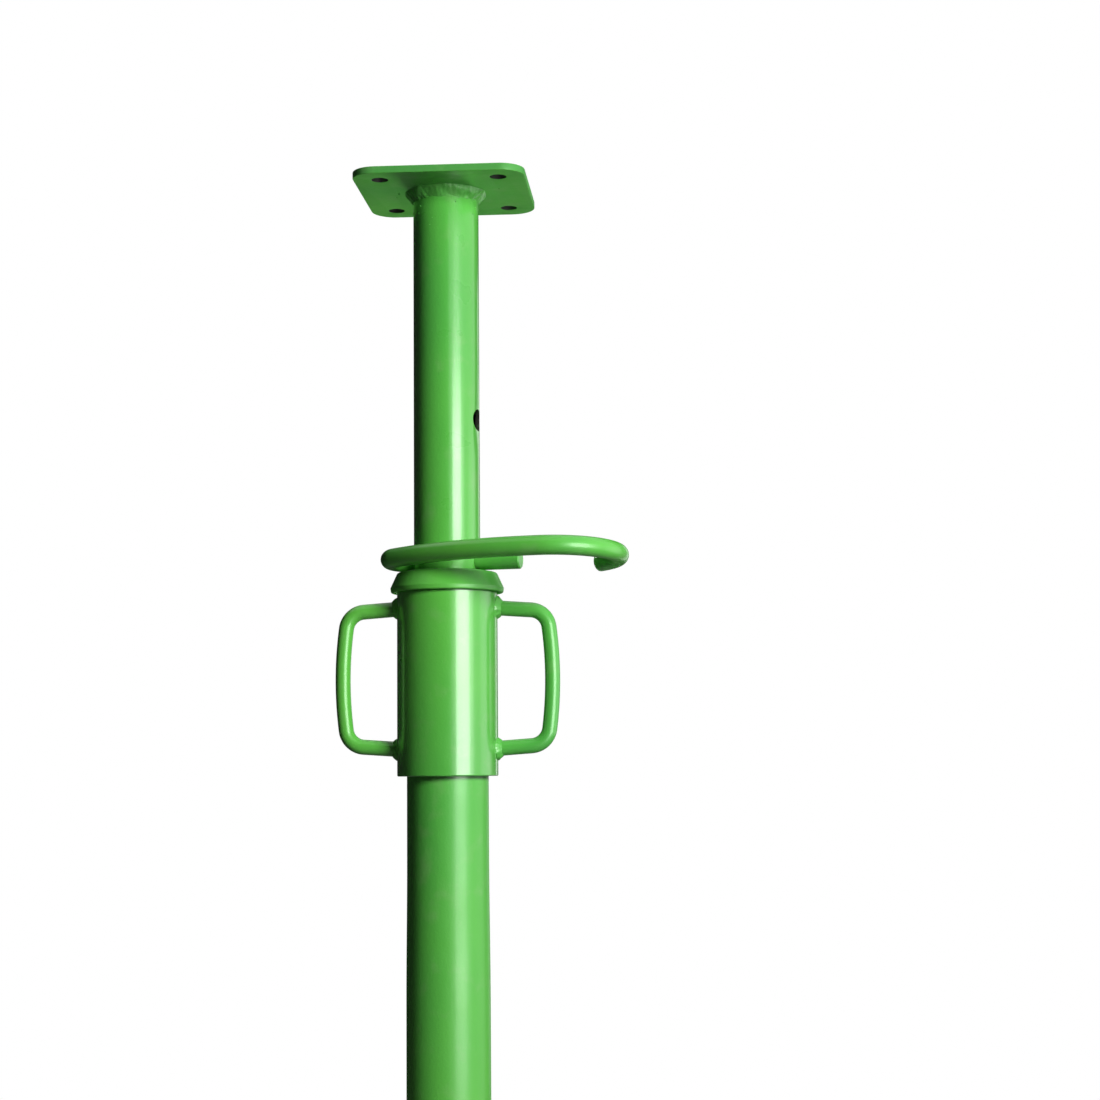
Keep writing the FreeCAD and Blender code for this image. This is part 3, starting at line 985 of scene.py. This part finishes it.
@dataclass
class InnerTube:
    """The sliding tube, drilled through at even heights for the pin."""

    wall: float = 2.9 * MM
    hole_radius: float = 8 * MM
    first_hole: float = 171 * MM
    pitch: float = 104 * MM
    holes: int = 7
    hole_turn: float = math.radians(-10.9)
    drill: float = 40 * MM
    flare: float = 8 * MM
    radius: float = 24.15 * MM

    def build(self, finishes: Finishes) -> None:
        """Models the tube with its flared foot and drills the cross holes."""
        low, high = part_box("inner_tube")
        foot = (high.x - low.x) / 2
        bore_radius = self.radius - self.wall
        growth = foot - self.radius
        rings = [
            (foot - 0.5 * MM, low.z), (foot, low.z + 0.5 * MM),
            (self.radius + growth * 0.35, low.z + self.flare * 0.55), (self.radius, low.z + self.flare),
        ]
        body_length = high.z - low.z - self.flare
        rings += [(self.radius, low.z + self.flare + body_length * part / 30) for part in range(1, 31)]
        rings += [(bore_radius, high.z), (bore_radius, low.z + self.flare), (bore_radius + growth, low.z)]
        piece = turn_piece("inner_tube_painted", rings)
        way = Vector((math.cos(self.hole_turn), math.sin(self.hole_turn), 0))
        for number in range(self.holes):
            middle = Vector((0, 0, high.z - self.first_hole - number * self.pitch))
            bore(piece, middle - way * self.drill, middle + way * self.drill, self.hole_radius)
        apply_modifier(
            piece, "BEVEL", "hole_edges", width=0.35 * MM, segments=2, limit_method="ANGLE",
            angle_limit=math.radians(60), harden_normals=False,
        )
        dress(piece, Body.INNER, finishes.paint, ["inner_tube"])
        # The bore and the cross holes' walls get the near-black bore finish: bare steel with painted shade.
        skin = self.radius - 0.45 * MM
        patch(piece, finishes.bore, lambda spot: math.hypot(spot.x, spot.y) < skin)


# Nut


@dataclass
class Nut:
    """The sleeve that covers the thread, its threaded ring, the loose thrust ring and the handles."""

    wall: float = 3.6 * MM
    seat_gap: float = 0.3 * MM
    thread_gap: float = 0.3 * MM
    thread_lead: float = 1.2 * MM
    thread_fill: float = 0.85
    ring_bore: float = 25.2 * MM
    ring_shoulder: float = 36.3 * MM
    ring_land: float = 29.5 * MM
    rim_face: float = 3.4 * MM
    forging: float = 0.18 * MM
    rod: float = 5.5 * MM
    low_arm: float = 19.5 * MM
    high_arm: float = 18.5 * MM
    reach: float = 76.5 * MM
    corner: float = 14 * MM
    bow: float = 290 * MM
    slope: float = math.radians(4)
    sink: float = 2 * MM
    weld_leg: float = 3 * MM
    weld_rise: float = 3.6 * MM
    thread: RolledThread = RolledThread()

    def sleeve(self, finishes: Finishes) -> None:
        """Models the smooth sleeve."""
        low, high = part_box("nut_sleeve")
        radius = high.x
        inside = radius - self.wall
        rings = round_corners([
            (inside, low.z, 0.5 * MM), (radius, low.z, 1.1 * MM),
            (radius, high.z, 1.3 * MM), (inside, high.z, 0.5 * MM),
        ], 5)
        piece = turn_piece("nut_sleeve_painted", rings)
        dress(piece, Body.NUT, finishes.paint, ["nut_sleeve"])

    def thread_ring(self, finishes: Finishes) -> None:
        """Models the ring in the sleeve's foot, threaded to run on the tube."""
        low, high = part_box("nut_thread_ring")
        outside = high.x
        thread = self.thread
        inside = thread.crest + self.thread_gap
        rings = [(outside, high.z), (outside, low.z), (inside + self.thread_lead, low.z)]
        rows = int((high.z - low.z) / (thread.pitch / 12))
        rings += [(inside, low.z + (high.z - low.z) * part / rows) for part in range(rows + 1)]
        rings.append((inside + self.thread_lead, high.z))
        piece = turn_piece("nut_thread_ring_steel", rings, THREAD_FACETS)

        def cut(point: Vector) -> Vector:
            radius = math.hypot(point.x, point.y)
            if radius > inside + 0.1 * MM:
                return point
            ridge = thread.groove(math.atan2(point.y, point.x), point.z)
            return at_radius(point, radius + self.thread_fill * (thread.depth - ridge))

        move_points(piece, cut)
        dress(piece, Body.NUT, finishes.steel, ["nut_thread_ring"])

    def thrust_ring(self, finishes: Finishes) -> None:
        """Models the dished ring with its rounded shoulder and flared, lipped rim."""
        low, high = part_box("thrust_ring")
        rim = high.x
        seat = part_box("nut_sleeve")[1] + Vector((1, 1, 1)) * self.seat_gap
        rings = round_corners([
            (self.ring_bore, seat.z, 0.5 * MM), (seat.x, seat.z, 0.4 * MM),
            (seat.x + 1.6 * MM, low.z, 0.7 * MM), (rim - 0.5 * MM, low.z, 1.3 * MM),
            (rim, low.z + self.rim_face, 1.6 * MM), (self.ring_shoulder, high.z - 1.3 * MM, 2.0 * MM),
            (self.ring_land, high.z, 2.6 * MM), (self.ring_bore, high.z, 0.6 * MM),
        ], 6)
        piece = turn_piece("thrust_ring_painted", rings)

        def forge(point: Vector) -> Vector:
            wobble = noise.noise(point * 60) * self.forging
            radius = math.hypot(point.x, point.y)
            if radius < seat.x:
                return point
            return at_radius(point, radius + min(wobble, 0) - 0.02 * MM)

        move_points(piece, forge)
        dress(piece, Body.THRUST_RING, finishes.satin_paint, ["thrust_ring"])

    def handle(self, side: Side, finishes: Finishes) -> None:
        """Bends one bail handle and turns it to its side of the sleeve.

        Args:
            side: The side that it stands on.
            finishes: The object's finishes.
        """
        low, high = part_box("nut_sleeve")
        sleeve = high.x
        arm_low = low.z + self.low_arm
        arm_high = high.z - self.high_arm
        start = Vector((sleeve - self.sink, 0, arm_low))
        grip = Vector((self.reach - self.bow, 0, (arm_low + arm_high) / 2))
        heading = Vector((math.cos(self.slope), 0, math.sin(self.slope)))
        across = Vector((-math.sin(self.slope), 0, math.cos(self.slope)))
        offset = start + across * self.corner - grip
        part = offset.dot(heading)
        inner = self.bow - self.corner
        run = math.sqrt(part * part - offset.dot(offset) + inner * inner) - part
        low_bend = start + across * self.corner + heading * run
        high_bend = Vector((low_bend.x, 0, 2 * grip.z - low_bend.z))
        turn = math.atan2(grip.z - low_bend.z, low_bend.x - grip.x)
        axis = Vector((0, -1, 0))
        bar = BarBender(side.name.lower() + "_handle_painted", self.rod, start, 0.4 * MM, 28)
        bar.open_end(heading)
        bar.straight(heading * (run - bar.chamfer), 6)
        bar.bend(low_bend, axis, math.pi / 2 - turn - self.slope, 12)
        bar.bend(grip, axis, 2 * turn, 24)
        bar.bend(high_bend, axis, math.pi / 2 - turn - self.slope, 12)
        back = Vector((-heading.x, 0, heading.z))
        bar.straight(back * (run - bar.chamfer), 6)
        piece = bar.close(back)
        if side is Side.LEFT:
            put(piece, HALF_TURN)
        dress(piece, Body.NUT, finishes.bar_paint, [side.name.lower() + "_handle"])

    def arm_weld(self, side: Side, node: str, height: float, tilt: float, finishes: Finishes) -> None:
        """Lays a bead round one arm, following the sleeve's round.

        Args:
            side: The handle's side.
            node: The weld's node.
            height: Height of the arm at the sleeve.
            tilt: The arm's slope there.
            finishes: The object's finishes.
        """
        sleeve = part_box("nut_sleeve")[1].x
        bead = FilletBead(
            self.rod, self.weld_leg, self.weld_rise, seed=height * 40 + side.value, segments=90, steps=7,
            root=1.2 * MM, ripple_pitch=2.4 * MM, ripple=0.10 * MM, grit=0.22 * MM,
        )
        piece = bead.lay(node + "_bead")
        put(piece, Euler((0, math.pi / 2 - tilt, 0)), (sleeve, 0, height))

        def follow_round(point: Vector) -> Vector:
            sag = sleeve - math.sqrt(max(sleeve * sleeve - point.y * point.y, 0))
            return Vector((point.x - sag, point.y, point.z))

        move_points(piece, follow_round)
        if side is Side.LEFT:
            put(piece, HALF_TURN)
        dress(piece, Body.NUT, finishes.weld_paint, [node])

    def build(self, finishes: Finishes) -> None:
        """Models and dresses the nut's pieces in the order that they go together."""
        low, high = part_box("nut_sleeve")
        self.sleeve(finishes)
        self.thread_ring(finishes)
        self.thrust_ring(finishes)
        for side in Side:
            self.handle(side, finishes)
            name = side.name.lower()
            self.arm_weld(side, name + "_lower_weld", low.z + self.low_arm, self.slope, finishes)
            self.arm_weld(side, name + "_upper_weld", high.z - self.high_arm, -self.slope, finishes)


@dataclass
class StopRing:
    """The loose ring on the inner tube's foot that the outer tube's mouth holds back."""

    wall: float = 1.5 * MM
    edge: float = 0.5 * MM

    def build(self, finishes: Finishes) -> None:
        """Models and dresses the ring."""
        low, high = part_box("stop_ring")
        radius = high.x
        inside = radius - self.wall
        rings = round_corners([
            (inside, low.z, self.edge / 2), (radius, low.z, self.edge),
            (radius, high.z, self.edge), (inside, high.z, self.edge / 2),
        ], 3)
        piece = turn_piece("stop_ring_steel", rings, 96)
        dress(piece, Body.STOP_RING, finishes.steel, ["stop_ring"])


# Captive pin


@dataclass
class CaptivePin:
    """One round bar bent to a leg, a tight bend, a long bow and an open hook."""

    rod: float = 6.98 * MM
    leg: float = 56 * MM
    bend_start: float = 24.2 * MM
    bend: float = 14 * MM
    hook: float = 45 * MM
    along: float = 86 * MM
    aside: float = 14 * MM
    end: float = 25 * MM
    tilt: float = math.radians(-3.3)
    turn: float = math.radians(-10.9)
    chamfer: float = 0.8 * MM

    def build(self, finishes: Finishes) -> None:
        """Bends the bar flat and lays it in its hole, tilted and turned."""
        ring_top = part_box("thrust_ring")[1].z
        height = ring_top + 0.3 * MM + self.rod
        bend_centre = Vector((-self.bend_start, -self.bend, 0))
        hook_centre = Vector((self.along, -self.aside, 0))
        foot = hook_centre.y - self.hook
        span = hook_centre.x - bend_centre.x
        rise = -foot - 2 * self.bend
        bow = (span * span / rise - foot) / 2
        bow_centre = Vector((hook_centre.x, foot + bow, 0))
        away = bend_centre - bow_centre
        touch = math.atan2(away.y, away.x) + FULL_TURN
        hook_turn = math.pi / 2 + math.asin((self.end - hook_centre.y) / self.hook)
        axis = Vector((0, 0, 1))
        back = Vector((-1, 0, 0))
        bar = BarBender("captive_pin_painted", self.rod, Vector((self.leg, 0, 0)), self.chamfer, 36)
        bar.open_end(back)
        bar.straight(back * (self.leg + self.bend_start - bar.chamfer), 12)
        bar.bend(bend_centre, axis, touch - math.pi / 2, 26)
        bar.bend(bow_centre, axis, 1.5 * math.pi - touch, 22)
        chamfer_turn = bar.chamfer / self.hook
        bar.bend(hook_centre, axis, hook_turn - chamfer_turn, 40)
        end_turn = hook_turn - math.pi / 2
        piece = bar.close(Vector((-math.sin(end_turn), math.cos(end_turn), 0)))
        lie = Matrix.Rotation(self.turn, 3, "Z") @ Matrix.Rotation(self.tilt, 3, "X")
        put(piece, lie.to_euler(), (0, 0, height))
        dress(piece, Body.PIN, finishes.bar_paint, ["g_pin"])


# Studio


@dataclass(frozen=True)
class PhotoCamera:
    """The photograph's viewpoint: level with the nut's foot, looking a little up."""

    eye: tuple[float, float, float] = (0.1847, -1.5404, 0.772)
    heading: float = math.radians(4.06)
    pitch: float = math.radians(5.92)
    roll: float = math.radians(-0.48)
    lens_mm: float = 69.8
    sensor_mm: float = 36.0

    def place(self) -> None:
        """Adds the camera and makes it the scene's."""
        data = bpy.data.cameras.new("photo_camera")
        data.lens = self.lens_mm
        data.sensor_width = self.sensor_mm
        camera = bpy.data.objects.new("photo_camera", data)
        bpy.context.scene.collection.objects.link(camera)
        turn = Matrix.Rotation(self.heading, 4, "Z") @ Matrix.Rotation(math.pi / 2 + self.pitch, 4, "X")
        camera.matrix_world = Matrix.Translation(self.eye) @ turn @ Matrix.Rotation(self.roll, 4, "Z")
        bpy.context.scene.camera = camera


@dataclass(frozen=True)
class Panel:
    """A soft light beside the object."""

    name: str
    azimuth: float
    distance: float
    height: float
    width: float
    tall: float
    power: float
    role: Role
    aim: float = 0.87
    beam: float = math.pi

    def spot(self) -> Vector:
        """The panel's centre. Azimuth 0 is in front and 90 to the right."""
        turn = math.radians(self.azimuth)
        return Vector((self.distance * math.sin(turn), -self.distance * math.cos(turn), self.height))

    def hang(self) -> None:
        """Hangs the panel as a lamp that faces the prop's axis at the aim's height."""
        data = bpy.data.lights.new(self.name, "AREA")
        data.shape = "RECTANGLE"
        data.size = self.width
        data.size_y = self.tall
        data.energy = self.power
        data.spread = self.beam
        lamp = bpy.data.objects.new(self.name, data)
        lamp.location = self.spot()
        lamp.rotation_euler = (Vector((0, 0, self.aim)) - self.spot()).to_track_quat("-Z", "Y").to_euler()
        lamp.visible_camera = False
        lamp.visible_glossy = self.role is Role.STRIP
        lamp.visible_diffuse = self.role is Role.FILL
        bpy.context.scene.collection.objects.link(lamp)


@dataclass(frozen=True)
class Drape:
    """A dark cloth hung in an arc round the object, which only reflections and light see."""

    name: str
    start: float
    end: float
    radius: float = 2.1
    height: float = 3.0
    shade: float = 0.05

    def hang(self) -> None:
        """Hangs the cloth. Azimuth 0 is in front and 90 to the right."""
        deselect_all()
        bpy.ops.mesh.primitive_circle_add(
            vertices=72, radius=self.radius, location=(0, 0, 0.01), fill_type="NOTHING", enter_editmode=True
        )
        drape = bpy.context.object
        drape.name = self.name

        def outside(point: bmesh.types.BMVert) -> bool:
            azimuth = math.degrees(math.atan2(point.co.x, -point.co.y))
            return not any(self.start <= azimuth + turn <= self.end for turn in (-360, 0, 360))

        select_points(drape, outside)
        bpy.ops.mesh.delete(type="VERT")
        bpy.ops.mesh.select_all(action="SELECT")
        bpy.ops.mesh.extrude_region_move(TRANSFORM_OT_translate={"value": (0, 0, self.height)})
        bpy.ops.object.mode_set(mode="OBJECT")
        drape.visible_camera = False
        sheet = NodeSheet(self.name)
        sheet.feed(sheet.shader, "Base Color", (self.shade,) * 3 + (1,))
        sheet.feed(sheet.shader, "Roughness", 1.0)
        sheet.feed(sheet.shader, "Specular IOR Level", 0.0)
        drape.data.materials.append(sheet.material)


@dataclass(frozen=True)
class Studio:
    """Pale floor, white surround and plain soft light from the right."""

    floor_radius: float = 2.3
    surround: float = 0.03

    def world(self) -> None:
        """Makes the surround white where it is seen and dimmer where it lights."""
        world = bpy.data.worlds.new("studio_world")
        bpy.context.scene.world = world
        world.use_nodes = True
        sheet = NodeTree(world.node_tree)
        sheet.tree.nodes.clear()
        path = sheet.add("ShaderNodeLightPath").outputs
        seen = path["Is Camera Ray"]
        for ray in ("Is Transmission Ray", "Is Glossy Ray"):
            seen = sheet.combine("MAXIMUM", seen, path[ray])
        mix = sheet.add("ShaderNodeMixShader")
        sheet.feed(mix, 0, seen)
        for key, strength in ((1, self.surround), (2, 1.0)):
            light = sheet.add("ShaderNodeBackground")
            sheet.feed(light, "Color", (1, 1, 1, 1))
            sheet.feed(light, "Strength", strength)
            sheet.feed(mix, key, light.outputs[0])
        sheet.feed(sheet.add("ShaderNodeOutputWorld"), "Surface", mix.outputs[0])

    def floor(self) -> None:
        """Lays a round pale floor that fades into the white surround at its rim."""
        deselect_all()
        bpy.ops.mesh.primitive_circle_add(vertices=96, radius=self.floor_radius, fill_type="NGON")
        floor = bpy.context.object
        floor.name = "studio_floor"
        sheet = NodeSheet("studio_floor")
        path = sheet.add("ShaderNodeLightPath")
        shade = sheet.tint(path.outputs["Is Camera Ray"], (0.20, 0.20, 0.20, 1), (0.80, 0.80, 0.80, 1))
        sheet.feed(sheet.shader, "Base Color", shade)
        sheet.feed(sheet.shader, "Roughness", 0.9)
        sheet.feed(sheet.shader, "Specular IOR Level", 0.1)
        length = sheet.add("ShaderNodeVectorMath", operation="LENGTH")
        sheet.feed(length, 0, sheet.place)
        fade = sheet.remap(length.outputs["Value"], 0.3, self.floor_radius * 0.9, 0.55, 1.0)
        glow = sheet.add("ShaderNodeEmission")
        sheet.feed(glow, "Strength", 1.0)
        mix = sheet.add("ShaderNodeMixShader")
        sheet.feed(mix, 0, sheet.combine("MULTIPLY", fade, path.outputs["Is Camera Ray"]))
        sheet.feed(mix, 1, sheet.shader.outputs[0])
        sheet.feed(mix, 2, glow.outputs[0])
        sheet.feed(sheet.tree.nodes["Material Output"], "Surface", mix.outputs[0])
        floor.data.materials.append(sheet.material)

    def build(self) -> None:
        """Sets up the view, the floor, the surround and the lights."""
        bpy.context.scene.view_settings.view_transform = "Standard"
        self.world()
        self.floor()
        for lamp in (
            Panel("key_strip", 42, 1.6, 0.825, 0.90, 1.05, 27.8, Role.STRIP),
            Panel("shoulder_strip", 63, 1.6, 0.80, 0.26, 1.0, 1.8, Role.STRIP),
            Panel("side_strip", 102, 1.5, 0.75, 0.80, 1.0, 2.2, Role.STRIP),
            Panel("back_strip", 155, 1.6, 0.90, 0.30, 1.2, 1.5, Role.STRIP),
            Panel("main_fill", 43, 1.6, 1.34, 0.5, 0.5, 38.5, Role.FILL),
            Panel("high_fill", 150, 0.9, 2.6, 1.0, 1.0, 5.5, Role.FILL),
            Panel("low_fill", 172, 1.3, 0.30, 0.3, 0.3, 1.1, Role.FILL, aim=1.18, beam=math.radians(50)),
            Panel("back_fill", 187, 1.7, 1.1, 1.0, 1.7, 19, Role.FILL),
        ):
            lamp.hang()
        Drape("left_drape", -178, 17).hang()
        Drape("back_right_drape", 122, 187).hang()


def main() -> None:
    """Builds the studio and each sub-assembly of the prop."""
    logging.basicConfig(level=logging.INFO, format="%(name)s: %(message)s")
    PhotoCamera().place()
    Studio().build()
    finishes = Finishes.mixed()
    outer_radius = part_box("outer_tube")[1].x
    inner = InnerTube()
    EndPlate("base_plate", "base_weld", Body.OUTER, outer_radius, 1).build(finishes)
    OuterTube().build(finishes)
    Nut().build(finishes)
    StopRing().build(finishes)
    inner.build(finishes)
    EndPlate("head_plate", "head_weld", Body.INNER, inner.radius, -1).build(finishes)
    CaptivePin().build(finishes)


if __name__ == "__main__":
    main()
